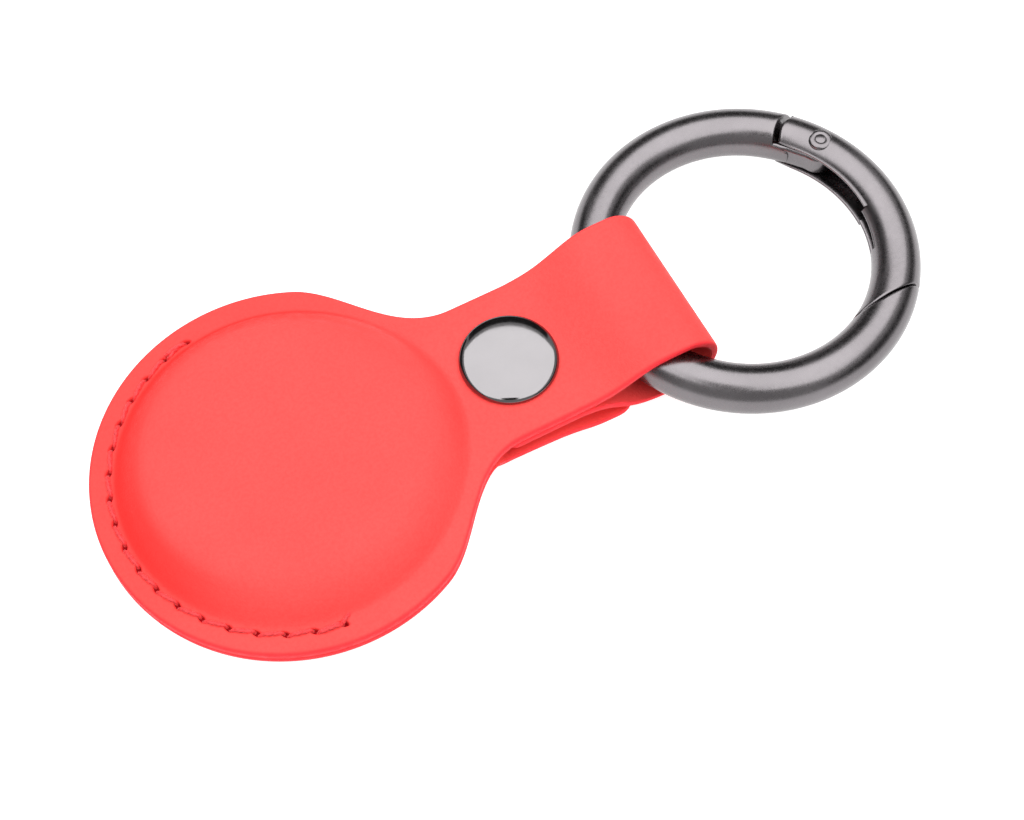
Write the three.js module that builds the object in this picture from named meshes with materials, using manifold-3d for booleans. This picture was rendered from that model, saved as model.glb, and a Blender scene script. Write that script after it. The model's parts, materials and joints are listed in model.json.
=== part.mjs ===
// Key-ring finder tag: a round wireless tracker in a sewn leather pocket, hung from a spring-gate ring.
// Millimetres, +Z up. The origin is on the pocket's axis, on the plane the back of the pocket rests on.
// +X runs along the strap to the ring. Heights below are measured from the plane between the two
// leather panels, which stands REST_HEIGHT above the origin.
import * as THREE from 'three';
import { mergeVertices } from 'three/addons/utils/BufferGeometryUtils.js';
import Module from 'manifold-3d';

const wasm = await Module();
wasm.setup();

// Leather pocket
const LEATHER = 1.2;            // thickness of the hide
const LAP = 0.05;               // half of the air between two layers
const LOBE_R = 21;              // round lobe that covers the tracker
const RIM_R = 19.4;             // the moulded part ends here and the flat rim carries on
const POCKET_R = 16.25;         // inside of the moulded pocket
const POCKET_HALF = 4.2;        // inside height of one moulded half
const REST_HEIGHT = POCKET_HALF + LEATHER;
const BEND_X = 3;               // line across the pocket where the back panel bends open
const BEND_GAP = 0.15;          // half of the gap between the two solids of the back panel

// Neck and strap
const NECK_DEG = 65;            // the outline leaves the round lobe here
const NECK_PULL = 5.5;          // how straight it leaves the lobe
const NECK_END = 23;            // the neck ends and the parallel strap begins
const NECK_EASE = 6.8;          // how gently it joins the strap
const STRAP_HALF = 8.75;        // half width at the snap
const FOLD_HALF = 9.15;         // half width at the fold
const RISE_START = 29.8;        // the strap leaves the flat here to pass over the ring
const RISE_END = 40;
const FOLD_X = 42.1;            // centre of the fold
const FOLD_R = 4;               // radius of the fold at mid thickness
const FOLD_LEATHER = 1;         // the hide is pared down to this where it folds
const RETURN_END = 21.5;        // free end of the folded-under strap
const FLAP_DROP = 2.7;          // the back flap's top face is this far down at the snap
const FLAP_TIP_DROP = 4.2;      // and this far down at its tip
const FLAP_END = 37.5;
const FLAP_CORNER = 2.6;

// Seam
const SEAM_R = 18.86;
const SEAM_START_DEG = 102;
const SEAM_END_DEG = 262;
const STITCHES = 18;
const THREAD_R = 0.2;
const HOLE_HALF = [0.32, 0.8];  // half size of a hole, across the seam and along it

// Snap fastener
const SNAP_X = 25.8;
const CAP_R = 5.2;
const KNOB_R = 1.75;

// Spring-gate ring
const RING_X = 55.34;           // centre of the ring
const RING_R = 16.76;           // radius of the wire's centre line
const WIRE_R = 2.7;
const PIN_DEG = 28.5;
const PIN_AT = 16.6;            // distance of the hinge pin from the ring's centre
const PIN_R = 0.74;
const PIN_HEAD_R = 1.35;
const PIN_HEAD_SEAT = 2.1;      // height of the flats that the pin's heads sit on
const KNUCKLE_R = 2.1;
const TONGUE_HALF = 1.15;       // half thickness of the tongue that runs out to the pin
const TONGUE_INNER_R = 14.2;
const TONGUE_OUTER_R = 18.2;
const TONGUE_ROOT_DEG = 50;
const SLOT_HALF = 1.4;          // half width of the channel inside the gate
const SLOT_OUTER_R = 18.85;
const SLOT_STEP_DEG = -7;       // beyond this the channel is narrow, as far as SLOT_END_DEG
const SLOT_END_DEG = -27;
const NARROW_HALF = 0.9;
const NARROW_OUTER_R = 17.6;
const HINGE_CLEAR_R = 4.7;      // round hinge end of the gate, about the pin
const SHOULDER_R = 15.7;        // nearer the eye than this, the body reaches on towards the pin
const SHOULDER_CLEAR_R = 3.1;   // and the gate's lips are cut back to this, about the pin
const HINGE_GAP = 0.3;
const NOSE_Y = -12.95;          // plane where the gate's nose meets the body
const NOSE_GAP = 0.15;

// Tracker
const TAG_R = 15.95;
const CELL_R = 10;
const CELL_TOP = 0.1;
const CELL_BOTTOM = -3.1;
const BOARD_BOTTOM = 0.8;
const BOARD_TOP = 1.4;
const CONTACT_DEG = [60, 180];  // where the two side contacts stand

const FINE = 48;                // facets round a large turned piece
const MEDIUM = 24;
const COARSE = 16;
const REACH = 40;               // half size of a cutting block

const degrees = THREE.MathUtils.degToRad;

// ---------------------------------------------------------------------------------------------
// Solids

function solid(geometry) {
  for (const name of Object.keys(geometry.attributes)) {
    if (name !== 'position') geometry.deleteAttribute(name);
  }
  const merged = mergeVertices(geometry, 1e-4);
  const corner = merged.index.array;
  const point = merged.attributes.position;
  const triangles = [];
  let volume = 0;
  const [a, b, c] = [new THREE.Vector3(), new THREE.Vector3(), new THREE.Vector3()];
  for (let i = 0; i < corner.length; i += 3) {
    const [p, q, r] = [corner[i], corner[i + 1], corner[i + 2]];
    if (p === q || q === r || r === p) continue;
    triangles.push([p, q, r]);
    a.fromBufferAttribute(point, p);
    b.fromBufferAttribute(point, q);
    c.fromBufferAttribute(point, r);
    volume += a.dot(b.cross(c));
  }
  const outward = volume > 0 ? triangles : triangles.map(([p, q, r]) => [p, r, q]);
  return new wasm.Manifold(new wasm.Mesh({
    numProp: 3,
    vertProperties: new Float32Array(point.array),
    triVerts: new Uint32Array(outward.flat()),
  }));
}

const join = (first, ...others) => others.reduce((sum, other) => sum.add(other), first);
const cut = (first, ...others) => others.reduce((rest, other) => rest.subtract(other), first);
const common = (first, ...others) => others.reduce((rest, other) => rest.intersect(other), first);

// A profile of [radius, height] pairs turned about the Z axis.
function turned(profile, facets = MEDIUM) {
  const points = profile.map(([r, z]) => new THREE.Vector2(r, z));
  const onAxis = profile[0][0] === 0 && profile[profile.length - 1][0] === 0;
  if (!onAxis) points.push(points[0].clone());
  return solid(new THREE.LatheGeometry(points, facets).rotateX(Math.PI / 2));
}

function disc(radius, bottom, top, facets = MEDIUM) {
  return turned([[0, bottom], [radius, bottom], [radius, top], [0, top]], facets);
}

function tube(inner, outer, bottom, top, facets = MEDIUM) {
  return turned([[inner, bottom], [outer, bottom], [outer, top], [inner, top]], facets);
}

function block(x0, x1, y0, y1, z0, z1) {
  const geometry = new THREE.BoxGeometry(x1 - x0, y1 - y0, z1 - z0);
  return solid(geometry.translate((x0 + x1) / 2, (y0 + y1) / 2, (z0 + z1) / 2));
}

// A flat outline of Vector2 points, standing from bottom to top.
function plate(outline, bottom, top) {
  const options = { depth: top - bottom, bevelEnabled: false, curveSegments: 8 };
  const shape = outline instanceof THREE.Shape ? outline : new THREE.Shape(outline);
  return solid(new THREE.ExtrudeGeometry(shape, options).translate(0, 0, bottom));
}

// A round wire along a curve.
function wire(curve, radius, steps, sides) {
  const section = new THREE.Shape();
  for (let i = 0; i < sides; i++) {
    const turn = (i / sides) * 2 * Math.PI;
    const [x, y] = [radius * Math.cos(turn), radius * Math.sin(turn)];
    if (i === 0) section.moveTo(x, y);
    else section.lineTo(x, y);
  }
  return solid(new THREE.ExtrudeGeometry(section, { steps, extrudePath: curve }));
}

// A band that follows a path drawn in the XZ plane, as wide as the reach. thickness(x) is its thickness.
function band(path, thickness, divisions) {
  const points = path.getSpacedPoints(divisions);
  const side = (sign) => points.map((point, i) => {
    const before = points[Math.max(i - 1, 0)];
    const after = points[Math.min(i + 1, points.length - 1)];
    const along = after.clone().sub(before).normalize();
    const across = new THREE.Vector2(-along.y, along.x);
    return point.clone().addScaledVector(across, sign * thickness(point.x) / 2);
  });
  const shape = new THREE.Shape([...side(1), ...side(-1).reverse()]);
  const options = { depth: 2 * REACH, bevelEnabled: false };
  const geometry = new THREE.ExtrudeGeometry(shape, options);
  return solid(geometry.rotateX(Math.PI / 2).translate(0, REACH, 0));
}

const polar = (radius, angle) => new THREE.Vector2(
  radius * Math.cos(degrees(angle)), radius * Math.sin(degrees(angle)));

// ---------------------------------------------------------------------------------------------
// Leather

// Plan of a panel: round lobe, hollow neck, strap. finish(shape) draws the strap's end.
function panelOutline(finish) {
  const shape = new THREE.Shape();
  const start = polar(LOBE_R, -NECK_DEG);
  const pull = polar(NECK_PULL, 90 - NECK_DEG);
  shape.moveTo(NECK_END, STRAP_HALF);
  shape.bezierCurveTo(NECK_END - NECK_EASE, STRAP_HALF,
    start.x + pull.x, -start.y - pull.y, start.x, -start.y);
  shape.absarc(0, 0, LOBE_R, degrees(NECK_DEG), degrees(360 - NECK_DEG), false);
  shape.bezierCurveTo(start.x + pull.x, start.y + pull.y,
    NECK_END - NECK_EASE, -STRAP_HALF, NECK_END, -STRAP_HALF);
  finish(shape);
  shape.closePath();
  return new THREE.Shape(shape.getSpacedPoints(96));
}

const frontOutline = panelOutline((shape) => {
  const end = FOLD_X + FOLD_R + LEATHER;
  shape.lineTo(RISE_START, -STRAP_HALF);
  shape.lineTo(RISE_END, -FOLD_HALF);
  shape.lineTo(end, -FOLD_HALF);
  shape.lineTo(end, FOLD_HALF);
  shape.lineTo(RISE_END, FOLD_HALF);
  shape.lineTo(RISE_START, STRAP_HALF);
});

const flapOutline = panelOutline((shape) => {
  shape.lineTo(FLAP_END - FLAP_CORNER, -STRAP_HALF);
  shape.absarc(FLAP_END - FLAP_CORNER, FLAP_CORNER - STRAP_HALF, FLAP_CORNER, -Math.PI / 2, 0, false);
  shape.absarc(FLAP_END - FLAP_CORNER, STRAP_HALF - FLAP_CORNER, FLAP_CORNER, 0, Math.PI / 2, false);
});

// Section of one moulded half of the pocket, from the axis out to the rim and back.
const pocketHalf = [
  [0, POCKET_HALF], [12.6, POCKET_HALF], [14.4, 3.75], [15.5, 2.9], [16.1, 1.7], [POCKET_R, LAP],
  [RIM_R, LAP], [RIM_R, LAP + LEATHER], [18.3, LAP + LEATHER], [17.7, 1.65], [17.25, 2.6],
  [16.5, 3.8], [15.2, 4.85], [13.2, POCKET_HALF + LEATHER], [0, POCKET_HALF + LEATHER],
];

const flipped = (profile) => profile.map(([r, z]) => [r, -z]);

// Holes for the seam: one short slot in line with the seam at each end of each stitch.
const stitchDeg = (SEAM_END_DEG - SEAM_START_DEG) / STITCHES;

function seamHoles() {
  const [wide, half] = HOLE_HALF;
  const holes = [];
  for (let i = 0; i <= STITCHES; i++) {
    const slot = block(SEAM_R - wide, SEAM_R + wide, -half, half, -REACH, REACH);
    holes.push(slot.rotate([0, 0, SEAM_START_DEG + i * stitchDeg]));
  }
  return holes;
}

// The strap leaves the lobe, rises over the ring, folds and comes back beneath itself.
function strapPath() {
  const middle = LAP + LEATHER / 2;
  const path = new THREE.CurvePath();
  const at = (x, z) => new THREE.Vector2(x, z);
  const inner = at(RISE_START + 5.4, middle);
  const outer = at(RISE_END - 5.4, FOLD_R);
  const mirror = (point) => at(point.x, -point.y);
  path.add(new THREE.LineCurve(at(18, middle), at(RISE_START, middle)));
  path.add(new THREE.CubicBezierCurve(at(RISE_START, middle), inner, outer, at(RISE_END, FOLD_R)));
  path.add(new THREE.LineCurve(at(RISE_END, FOLD_R), at(FOLD_X, FOLD_R)));
  path.add(new THREE.EllipseCurve(FOLD_X, 0, FOLD_R, FOLD_R, Math.PI / 2, -Math.PI / 2, true));
  path.add(new THREE.LineCurve(at(FOLD_X, -FOLD_R), at(RISE_END, -FOLD_R)));
  path.add(new THREE.CubicBezierCurve(at(RISE_END, -FOLD_R), mirror(outer), mirror(inner),
    at(RISE_START, -middle)));
  path.add(new THREE.LineCurve(at(RISE_START, -middle), at(RETURN_END, -middle)));
  return path;
}

const strapThickness = (x) => THREE.MathUtils.lerp(LEATHER, FOLD_LEATHER,
  THREE.MathUtils.smoothstep(x, RISE_START, RISE_END));

function frontPanel() {
  const lobe = common(plate(frontOutline, LAP, LAP + LEATHER),
    block(-REACH, 19, -REACH, REACH, -REACH, REACH));
  const rim = cut(lobe, disc(RIM_R - 0.4, -REACH, REACH, FINE));
  const strap = common(band(strapPath(), strapThickness, 64), plate(frontOutline, -REACH, REACH),
    block(18.2, REACH * 2, -REACH, REACH, -REACH, REACH));
  const clear = disc(POCKET_R + 0.6, -REACH, LAP + LEATHER / 2, FINE);
  const panel = join(turned(pocketHalf, FINE), rim, cut(strap, clear));
  const hole = disc(1.75, -REACH, REACH, COARSE).translate([SNAP_X, 0, 0]);
  return cut(panel, hole, ...seamHoles());
}

// The back flap steps down below the folded-under strap and slopes on to its tip.
function flapPath() {
  const middle = -LAP - LEATHER / 2;
  const snap = -FLAP_DROP - LEATHER / 2;
  const tip = -FLAP_TIP_DROP - LEATHER / 2;
  const at = (x, z) => new THREE.Vector2(x, z);
  const path = new THREE.CurvePath();
  path.add(new THREE.LineCurve(at(15.5, middle), at(17.2, middle)));
  path.add(new THREE.CubicBezierCurve(at(17.2, middle), at(19, middle), at(19.6, snap), at(22, snap)));
  path.add(new THREE.LineCurve(at(22, snap), at(29.4, snap)));
  path.add(new THREE.CubicBezierCurve(at(29.4, snap), at(32, snap), at(33.5, tip), at(FLAP_END, tip)));
  return path;
}

function wholeBackPanel() {
  const lobe = common(plate(flapOutline, -LAP - LEATHER, -LAP),
    block(-REACH, 17, -REACH, REACH, -REACH, REACH));
  const rim = cut(lobe, disc(RIM_R - 0.4, -REACH, REACH, FINE));
  const strap = common(band(flapPath(), () => LEATHER, 40), plate(flapOutline, -REACH, REACH),
    block(16.9, REACH * 2, -REACH, REACH, -REACH, REACH));
  const pocket = turned(flipped(pocketHalf), FINE);
  const beyond = block(17.2, REACH, -REACH, REACH, -LAP - LEATHER - 0.01, REACH);
  const moulded = cut(pocket, common(beyond, tube(18.4, REACH, -REACH, REACH, FINE)));
  const clear = disc(POCKET_R + 0.6, -LAP - LEATHER / 2, REACH, FINE);
  const panel = join(moulded, rim, cut(strap, clear));
  const hole = disc(1.2, -REACH, REACH, COARSE).translate([SNAP_X, 0, 0]);
  return cut(panel, hole, ...seamHoles());
}

const backWhole = wholeBackPanel();
const sewnHalf = () => common(backWhole,
  block(-REACH, BEND_X - BEND_GAP, -REACH, REACH, -REACH, REACH));
const flapHalf = () => common(backWhole,
  block(BEND_X + BEND_GAP, REACH * 2, -REACH, REACH, -REACH, REACH));

// One thread of the lockstitch: along the face of the leather, and down into each hole.
function seamThread(side) {
  const face = side * (LAP + LEATHER + THREAD_R + 0.05);
  const dip = side * (LAP + THREAD_R + 0.1);
  const points = [];
  for (let i = 0; i <= STITCHES; i++) {
    points.push([i, dip]);
    if (i < STITCHES) points.push([i + 0.22, face], [i + 0.78, face]);
  }
  const place = ([i, z]) => {
    const flat = polar(SEAM_R, SEAM_START_DEG + i * stitchDeg);
    return new THREE.Vector3(flat.x, flat.y, z);
  };
  const curve = new THREE.CatmullRomCurve3(points.map(place), false, 'catmullrom', 0.2);
  return wire(curve, THREAD_R, STITCHES * 4, 5);
}

// ---------------------------------------------------------------------------------------------
// Snap fastener, turned about its own axis

const leatherTop = LAP + LEATHER;
const returnBottom = -LAP - LEATHER;
const flapTop = -FLAP_DROP;
const flapBottom = -FLAP_DROP - LEATHER;

const capShell = () => turned([
  [4.2, leatherTop + 0.05], [CAP_R - 0.2, leatherTop + 0.05], [CAP_R, leatherTop + 0.3],
  [CAP_R - 0.05, leatherTop + 0.6], [CAP_R - 0.5, leatherTop + 0.95], [3.4, leatherTop + 1.25],
  [1.8, leatherTop + 1.38], [0, leatherTop + 1.42], [0, leatherTop + 1.07],
  [1.8, leatherTop + 1.03], [3.4, leatherTop + 0.9], [CAP_R - 0.65, leatherTop + 0.62],
  [CAP_R - 0.5, leatherTop + 0.35], [4.2, leatherTop + 0.3],
]);

const capPost = () => turned([
  [0, leatherTop + 0.7], [3.9, leatherTop + 0.7], [3.9, leatherTop + 0.4], [1.5, leatherTop + 0.4],
  [1.5, -1.58], [2.1, -1.62], [2.1, -1.72], [1.1, -1.72], [1.1, leatherTop + 0.2],
  [0, leatherTop + 0.2],
]);

const socket = () => turned([
  [1.65, returnBottom - 0.05], [4.4, returnBottom - 0.05], [4.7, returnBottom - 0.3],
  [4.7, -2.2], [4.5, -2.35], [1.95, -2.35], [1.95, -2.25], [2.6, -2.25], [2.6, -1.54], [1.65, -1.54],
]);

const stud = () => turned([
  [1.15, flapTop + 0.05], [4.2, flapTop + 0.05], [4.2, flapTop + 0.25], [1.9, flapTop + 0.25],
  [1.55, -2.3], [KNOB_R, -2.1], [KNOB_R - 0.1, -1.88], [1.35, -1.8], [1.15, -1.8],
]);

const studRivet = () => turned([
  [0.75, flapBottom - 0.5], [3.4, flapBottom - 0.5], [4.2, flapBottom - 0.3],
  [4.2, flapBottom - 0.05], [1.05, flapBottom - 0.05], [1.05, -1.95], [0.75, -1.95],
]);

// Split wire ring that grips the knob inside the socket.
function gripSpring() {
  const arc = (start, end, radius, z) => {
    const points = [];
    for (let i = 0; i <= 24; i++) {
      const flat = polar(radius, start + (end - start) * (i / 24));
      points.push(new THREE.Vector3(flat.x, flat.y, z));
    }
    return new THREE.CatmullRomCurve3(points);
  };
  return wire(arc(15, 345, 2.08, -2.06), 0.14, 24, 5);
}

// ---------------------------------------------------------------------------------------------
// Ring, drawn about its own centre

const pinAt = polar(PIN_AT, PIN_DEG);

function ringWire(tubeSides = 16, facets = 60) {
  const profile = [];
  for (let i = 0; i < tubeSides; i++) {
    const turn = (i / tubeSides) * 2 * Math.PI;
    profile.push([RING_R + WIRE_R * Math.cos(turn), WIRE_R * Math.sin(turn)]);
  }
  return turned(profile, facets);
}

const atPin = (shape) => shape.translate([pinAt.x, pinAt.y, 0]);

// Everything between the nose plane and the radial line through the hinge pin.
function gateSide(noseY) {
  const inner = polar(5, PIN_DEG);
  const outer = polar(REACH, PIN_DEG);
  return plate([
    new THREE.Vector2(3, noseY), new THREE.Vector2(REACH, noseY),
    new THREE.Vector2(REACH, outer.y), outer, inner,
  ], -REACH, REACH);
}

// A sector of a flat washer, used to shape the tongue and the channel.
function sector(inner, outer, startDeg, endDeg, half) {
  const points = [];
  const steps = 16;
  for (let i = 0; i <= steps; i++) points.push(polar(outer, startDeg + (endDeg - startDeg) * i / steps));
  for (let i = steps; i >= 0; i--) points.push(polar(inner, startDeg + (endDeg - startDeg) * i / steps));
  return plate(points, -half, half);
}

// Round hinge space about the pin, narrower on the side of the eye.
function hingeSpace(gap) {
  const eye = disc(SHOULDER_R - gap / 2, -REACH, REACH, FINE);
  return join(cut(atPin(disc(HINGE_CLEAR_R + gap, -REACH, REACH, 40)), eye),
    atPin(disc(SHOULDER_CLEAR_R + gap, -REACH, REACH, 28)));
}

function ringBody() {
  const open = cut(ringWire(), gateSide(NOSE_Y), hingeSpace(HINGE_GAP));
  const bar = sector(TONGUE_INNER_R, TONGUE_OUTER_R, PIN_DEG, TONGUE_ROOT_DEG, TONGUE_HALF);
  const knuckle = atPin(disc(KNUCKLE_R, -TONGUE_HALF, TONGUE_HALF, 28));
  const springSeat = atPin(disc(KNUCKLE_R + 0.25, 0.1, REACH, 28));
  const tongue = cut(common(join(bar, knuckle), ringWire()), springSeat);
  return cut(join(open, tongue), atPin(disc(PIN_R + 0.04, -REACH, REACH, COARSE)));
}

function ringGate() {
  const beyondPin = plate([polar(0, 0), polar(REACH, PIN_DEG - 0.5), polar(REACH, 75)], -REACH, REACH);
  const blank = common(ringWire(), join(gateSide(NOSE_Y + NOSE_GAP), common(beyondPin, hingeSpace(0))));
  const wide = sector(8, SLOT_OUTER_R, SLOT_STEP_DEG, 62, SLOT_HALF);
  const narrow = sector(8, NARROW_OUTER_R, SLOT_END_DEG, SLOT_STEP_DEG + 0.5, NARROW_HALF);
  const bore = atPin(disc(PIN_R + 0.08, -REACH, REACH, COARSE));
  const head = (z0, z1) => atPin(disc(PIN_HEAD_R + 0.07, z0, z1, 24));
  return cut(blank, wide, narrow, bore, head(PIN_HEAD_SEAT, REACH), head(-REACH, -PIN_HEAD_SEAT));
}

const pinHead = [[PIN_R, 2.15], [PIN_HEAD_R, 2.15], [PIN_HEAD_R, 2.5], [0.9, 2.68], [0, 2.72]];
const gatePin = () => atPin(turned([...flipped(pinHead).reverse(), ...pinHead], 24));

// Torsion spring: two and a half turns round the pin and one leg along the channel.
function gateSpring() {
  const points = [];
  const turns = 2.5;
  const legDeg = PIN_DEG - 103;
  for (let i = 0; i <= 30; i++) {
    const share = i / 30;
    const flat = polar(1.25, legDeg + 90 - 360 * turns * (1 - share));
    points.push(new THREE.Vector3(flat.x, flat.y, 0.32 + 0.86 * share));
  }
  const last = points[points.length - 1];
  const leg = polar(1, legDeg + 180);
  for (const reach of [2, 4, 6]) {
    points.push(new THREE.Vector3(last.x - leg.x * reach, last.y - leg.y * reach, last.z));
  }
  return atPin(wire(new THREE.CatmullRomCurve3(points), 0.16, 40, 4));
}

// ---------------------------------------------------------------------------------------------
// Tracker

const tagShell = () => turned([
  [0, 4], [8, 3.9], [12, 3.3], [14.6, 2.1], [15.75, 0.6], [TAG_R, -0.6], [15.6, -2.2], [14.7, -3.2],
  [13.5, -3.75], [13.1, -3.75], [13.1, -2.95], [14.1, -2.85], [14.7, -2], [14.9, -0.6], [14.9, 0.4],
  [14, 1.5], [11.7, 2.5], [8, 2.95], [0, 3.05],
], FINE);

// Tray for the cell, with a window at each side contact.
function innerFrame() {
  const tray = turned([
    [5.2, 0.2], [10.4, 0.2], [10.4, -2.6], [11.1, -2.6], [11.1, -1.2], [14.2, -1.2], [14.2, -0.4],
    [11.6, -0.2], [11.6, 0.7], [5.2, 0.7],
  ]);
  const windows = CONTACT_DEG.map((turn) => block(9.5, 13.2, -1.4, 1.4, -2.7, 0.9).rotate([0, 0, turn]));
  return cut(tray, ...windows);
}

const coinCell = () => turned([
  [0, CELL_BOTTOM], [9.8, CELL_BOTTOM], [CELL_R, CELL_BOTTOM + 0.2], [CELL_R, -0.35], [9.7, -0.15],
  [9, -0.15], [8.8, CELL_TOP], [0, CELL_TOP],
]);

const batteryCover = () => turned([
  [0, -4], [9, -3.97], [12, -3.85], [12.9, -3.65], [12.9, -3.5], [11.8, -3.55], [0, -3.62],
], FINE);

// Plastic ring under the cover, with three bayonet lugs.
function coverLiner() {
  const ring = tube(11.3, 12.3, -3.45, -2.35);
  const lugs = [0, 120, 240].map((turn) => {
    const lug = sector(12, 13.6, -9, 9, 0.2).translate([0, 0, -2.55]);
    return lug.rotate([0, 0, turn]);
  });
  return join(ring, ...lugs);
}

const coverSeal = () => tube(12.4, 13, -3.42, -3.05);

const circuitBoard = () => tube(5.3, 13.1, BOARD_BOTTOM, BOARD_TOP);
const antennaRing = () => tube(13.25, 13.9, BOARD_BOTTOM - 0.05, BOARD_BOTTOM + 0.4);

const speakerYoke = () => turned([
  [0, 0.3], [4.9, 0.3], [4.9, 1.9], [4.4, 1.9], [4.4, 0.7], [0, 0.7],
]);
const speakerMagnet = () => disc(3.3, 0.75, 1.9, 24);
const speakerPlate = () => disc(3.3, 1.95, 2.25, 24);
const voiceCoil = () => tube(3.6, 4.1, 1.15, 2.95, 24);

// Sprung strip that presses on the side of the cell through the frame.
function sideContact(turn) {
  const strip = block(11.75, 12, -1.1, 1.1, -2.2, BOARD_BOTTOM - 0.05);
  const foot = block(11.75, 12.8, -1.1, 1.1, BOARD_BOTTOM - 0.3, BOARD_BOTTOM - 0.05);
  const arm = block(10.1, 12, -1.1, 1.1, -2.2, -1.95);
  return join(strip, foot, arm).rotate([0, 0, turn]);
}

// Leaf under the board that presses on the cell's smaller face.
const centreContact = () => join(
  block(-5.1, -1.4, -0.8, 0.8, 0.14, 0.26),
  block(-5.1, -4.9, -0.8, 0.8, 0.14, 0.28),
);

const chip = (x, y, width, depth, height) => block(x - width / 2, x + width / 2,
  y - depth / 2, y + depth / 2, BOARD_TOP + 0.02, BOARD_TOP + 0.02 + height);

// ---------------------------------------------------------------------------------------------
// Materials and assembly

const leatherRed = { color: 0xf2564f, roughness: 0.62, metalness: 0 };
const threadRed = { color: 0xd93a3a, roughness: 0.8, metalness: 0 };
const nickel = { color: 0xc4c4c6, roughness: 0.22, metalness: 1 };
const gunmetal = { color: 0x8c898c, roughness: 0.32, metalness: 1 };
const springSteel = { color: 0x9fa2a6, roughness: 0.35, metalness: 1 };
const polishedSteel = { color: 0xd4d5d8, roughness: 0.12, metalness: 1 };
const whitePlastic = { color: 0xf3f3f1, roughness: 0.25, metalness: 0 };
const darkPlastic = { color: 0x2c2d30, roughness: 0.55, metalness: 0 };
const greyPlastic = { color: 0xb9babb, roughness: 0.5, metalness: 0 };
const gold = { color: 0xc9a55a, roughness: 0.3, metalness: 1 };
const boardGreen = { color: 0x1f4a35, roughness: 0.5, metalness: 0 };
const chipBlack = { color: 0x1c1c1e, roughness: 0.45, metalness: 0 };
const sealRubber = { color: 0x202022, roughness: 0.85, metalness: 0 };
const copper = { color: 0xb8703e, roughness: 0.35, metalness: 1 };
const magnetNickel = { color: 0x9a9ca0, roughness: 0.3, metalness: 1 };

function piece(name, shape, look) {
  const data = shape.getMesh();
  const geometry = new THREE.BufferGeometry();
  geometry.setAttribute('position', new THREE.BufferAttribute(data.vertProperties, 3));
  geometry.setIndex(new THREE.BufferAttribute(data.triVerts, 1));
  geometry.computeVertexNormals();
  const mesh = new THREE.Mesh(geometry, new THREE.MeshStandardMaterial(look));
  mesh.name = name;
  return mesh;
}

function groupAt(x, ...pieces) {
  const group = new THREE.Group();
  group.position.x = x;
  group.add(...pieces);
  return group;
}

const leather = groupAt(0,
  piece('front_panel', frontPanel(), leatherRed),
  piece('back_panel', sewnHalf(), leatherRed),
  piece('back_flap', flapHalf(), leatherRed),
  piece('front_thread', seamThread(1), threadRed),
  piece('back_thread', seamThread(-1), threadRed));

const snap = groupAt(SNAP_X,
  piece('snap_cap', capShell(), nickel),
  piece('snap_post', capPost(), nickel),
  piece('snap_socket', socket(), nickel),
  piece('snap_spring', gripSpring(), springSteel),
  piece('snap_stud', stud(), nickel),
  piece('stud_rivet', studRivet(), nickel));

const ring = groupAt(RING_X,
  piece('ring_body', ringBody(), gunmetal),
  piece('ring_gate', ringGate(), gunmetal),
  piece('gate_pin', gatePin(), gunmetal),
  piece('gate_spring', gateSpring(), springSteel));

const tracker = groupAt(0,
  piece('tag_shell', tagShell(), whitePlastic),
  piece('inner_frame', innerFrame(), greyPlastic),
  piece('coin_cell', coinCell(), nickel),
  piece('battery_cover', batteryCover(), polishedSteel),
  piece('cover_liner', coverLiner(), darkPlastic),
  piece('cover_seal', coverSeal(), sealRubber),
  piece('side_contact_1', sideContact(CONTACT_DEG[0]), gold),
  piece('side_contact_2', sideContact(CONTACT_DEG[1]), gold),
  piece('centre_contact', centreContact(), gold),
  piece('circuit_board', circuitBoard(), boardGreen),
  piece('antenna_ring', antennaRing(), copper),
  piece('speaker_yoke', speakerYoke(), magnetNickel),
  piece('speaker_magnet', speakerMagnet(), magnetNickel),
  piece('speaker_plate', speakerPlate(), magnetNickel),
  piece('voice_coil', voiceCoil(), copper),
  piece('radio_chip', chip(8.6, 0, 4.6, 4.6, 0.75), chipBlack),
  piece('ranging_chip', chip(-8.4, 2.2, 4, 3.6, 0.7), chipBlack),
  piece('memory_chip', chip(1.2, 8.6, 4, 3, 0.6), chipBlack),
  piece('motion_sensor', chip(-6, -6.6, 2.2, 2, 0.8), chipBlack),
  piece('crystal', chip(4.6, -7.8, 2.6, 1.8, 0.6), magnetNickel),
  piece('power_coil', chip(-3.6, 9, 2.4, 2.4, 0.9), darkPlastic));

const object = new THREE.Group();
object.position.z = REST_HEIGHT;
object.add(leather, snap, ring, tracker);

export default object;
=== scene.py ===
"""A round finder tag in a sewn leather pocket, its strap folded over a spring-gate ring."""
import json
import math

import bmesh
import bpy
import numpy as np
from mathutils import Matrix, Vector


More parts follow.
